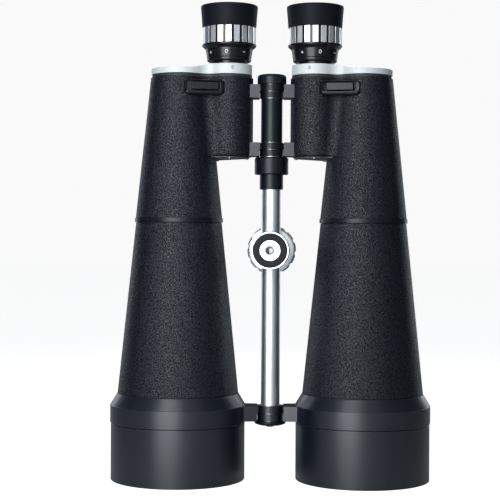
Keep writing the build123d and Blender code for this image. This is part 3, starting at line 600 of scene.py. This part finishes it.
eyepiece_black = painted("eyepiece black", (0.003, 0.003, 0.004), 0.26, edge=0.2, sheen=0.35)
cup_rubber = painted("cup rubber", (0.004, 0.005, 0.007), 0.56, peel=1.0, patches=0.2, depth=0.04,
                     sheen=0.09)
grip_metal = machined("grip aluminium", (0.84, 0.85, 0.86), 0.42, depth=0.03, contrast=0.30)
mark_white = painted("scale white", (0.62, 0.62, 0.62), 0.5)
land_count, land_r, scale_r, scale_spread, skirt_lean = 20, 21.4, 18.86, 46.3, 9.2
for side, sign, zero in (("left", -1, -5.7), ("right", 1, 10.2)):
    x = sign * eye_x
    finish_node(f"{side}_eyepiece_base", eyepiece_black)
    finish_node(f"{side}_ocular_barrel", eyepiece_black)
    finish_node(f"{side}_ocular_lenses", coated_glass)
    ring = turned(f"{side}_focus_skirt", x, [
        (14.68, 342.6), (16.9, 342.6), (18.1, 343.5), (18.2, 345.2), (17.9, 345.35), (17.9, 345.65),
        (18.25, 345.8), (19.4, 352.9), (22.1, 355.4), (22.3, 355.8), (22.3, 356.8), (21.5, 357.0),
        (21.5, 370.6), (20.0, 370.7), (20.0, 372.6), (15.5, 372.6), (15.5, 367.9), (12.56, 367.9),
        (12.56, 366.0), (14.68, 366.0)])
    soften(ring, 0.18, steps=2)
    fit(ring, f"{side}_focus", "satin_black_metal", eyepiece_black, f"{side}_focus_ring")
    lands = []
    for n in range(land_count):
        angle = 360.0 / land_count * n - 0.6 * sign - 1.2
        lands.append(box("land", (4.7, 1.0, 13.6), round_place(x, land_r, angle, 363.8), angle, 0.18))
    grip = joined(f"{side}_grip_lands", lands)
    fit(grip, f"{side}_focus", "bright_aluminium", grip_metal, f"{side}_grip_ring")
    marks = []
    plus, minus = ((2.0, 0.3, 0.5), (0.5, 0.3, 2.0)), ((2.4, 0.3, 0.5),)
    for angle, strokes in ((zero - scale_spread, plus), (zero + scale_spread, minus)):
        for size in strokes:
            place = round_place(x, scale_r, angle, 349.4)
            marks.append(box("mark", size, place, angle, lean=skirt_lean))
    deselect()
    spot = tuple(v * MM for v in round_place(x, 18.92, zero, 349.6))
    bpy.ops.mesh.primitive_torus_add(major_radius=0.95 * MM, minor_radius=0.22 * MM, major_segments=32,
                                     minor_segments=10, location=spot,
                                     rotation=(radians(90 + skirt_lean), 0, radians(zero)))
    nought = bpy.context.object
    bpy.ops.object.transform_apply(location=True, rotation=True, scale=True)
    bpy.ops.transform.resize(value=(1, 1, 1.35), center_override=spot)
    bpy.ops.object.transform_apply(location=True, rotation=True, scale=True)
    scale_marks = joined(f"{side}_scale_marks", marks + [nought])
    fit(scale_marks, f"{side}_focus", "satin_black_metal", mark_white)
    cup = turned(f"{side}_rubber_cup", x, [
        (20.02, 370.8), (22.05, 370.8), (22.35, 372.3), (22.75, 378.8), (23.5, 387.4), (23.35, 388.4),
        (22.8, 388.8), (22.0, 388.5), (21.0, 384.8), (19.6, 376.5), (16.2, 374.4), (16.2, 372.7),
        (20.02, 372.7)])
    soften(cup, 0.25, steps=3, angle=18)
    fit(cup, f"{side}_focus", "cup_rubber", cup_rubber, f"{side}_eyecup")


# ---- Centre hinge ------------------------------------------------------------------------------
# A steel axle joins the two housings through black knuckles. A black tube, a screwed cap, a large
# tension nut and a sleeve sit on it; all are turned and painted gloss black.
for name in ("hinge_tube", "hinge_cap", "tension_collar", "rod_sleeve", "foot_cap"):
    finish_node(name, gloss_black)
for name in ("hinge_axle", "hinge_washers"):
    finish_node(name, screw_steel)


# ---- Support rod -------------------------------------------------------------------------------
# Drawn steel rod, polished and plated, with faint lengthwise drawing lines.
rod_metal = machined("plated rod", (0.74, 0.77, 0.79), 0.38, depth=0.004, contrast=0.05)
finish_node("support_rod", rod_metal)


# ---- Tripod post -------------------------------------------------------------------------------
# A bright aluminium post slides on the rod over a nylon liner. Its face holds a rubber ring round
# a steel bush with the tripod thread, and a scalloped knob behind presses a brass shoe on the rod.
bright_aluminium = machined("bright turned aluminium", (0.88, 0.89, 0.90), 0.28,
                            lines=(1.0, 1.0, 1.0), depth=0.01, contrast=0.06)
pad_rubber = painted("pad rubber", (0.006, 0.007, 0.009), 0.60, sheen=0.22, peel=1.0, depth=0.04)
brass = painted("shoe brass", (0.72, 0.50, 0.20), 0.3, metallic=1.0, speckle=0.05)
nylon = painted("liner nylon", (0.03, 0.03, 0.03), 0.45)
post_turn, post_height = 2.3, 188


def laid_along_post(piece):
    """Lays a piece that stands on the origin along the axis of the post, top end forwards."""
    deselect()
    piece.select_set(True)
    bpy.context.view_layer.objects.active = piece
    piece.rotation_euler = (radians(90), 0, radians(-post_turn))
    piece.location = (0, 0, post_height * MM)
    bpy.ops.object.transform_apply(location=True, rotation=True, scale=True)
    return piece


post = copied("mount_post", "post_body")
soften(post, 0.25)
fit(post, "tripod_mount", "bright_aluminium", bright_aluminium, "mount_post")
knob = copied("clamp_knob", "scalloped_knob")
soften(knob, 0.5)
fit(knob, "clamp_knob", "bright_aluminium", bright_aluminium, "clamp_knob")

# The bush has a tripod thread: a mouth chamfer and eight turns of 1.27 mm pitch, as plain grooves.
thread = []
thread_top, thread_pitch = 30.6, 1.27
for turn_number in range(8):
    top = thread_top - thread_pitch * turn_number
    thread += [(2.62, top), (2.62, top - 0.2), (3.15, top - 0.6), (3.15, top - 0.75)]
bush = turned("threaded_bush", 0, [
    (3.4, 31.65), (3.9, 31.75), (5.3, 31.75), (5.5, 31.3), (6.0, 31.3), (6.0, 16.6), (0.6, 16.6),
    (0.6, 18.8), (2.62, 18.8)] + thread[::-1] + [(2.62, 31.0)], segments=96)
smooth(laid_along_post(bush), 25)
fit(bush, "tripod_mount", "screw_steel", screw_steel, "tripod_bushing")
pad = turned("rubber_ring", 0, [(8.25, 29.95), (13.95, 29.95), (13.95, 31.3), (13.5, 31.6), (8.7, 31.6),
                                (8.25, 31.3)], segments=96)
ribs = []
rib_count = 72
for n in range(rib_count):
    rib = box("rib", (4.4, 0.22, 0.3), (11.1, 0, 31.65))
    rib.rotation_euler = (0, 0, radians(360.0 / rib_count * n))
    bpy.ops.object.transform_apply(location=True, rotation=True, scale=True)
    ribs.append(rib)
pad = laid_along_post(joined("rubber_ring", [pad] + ribs))
fit(pad, "tripod_mount", "pad_rubber", pad_rubber, "friction_ring")
finish_node("clamp_shoe", brass)
finish_node("mount_liner", nylon)
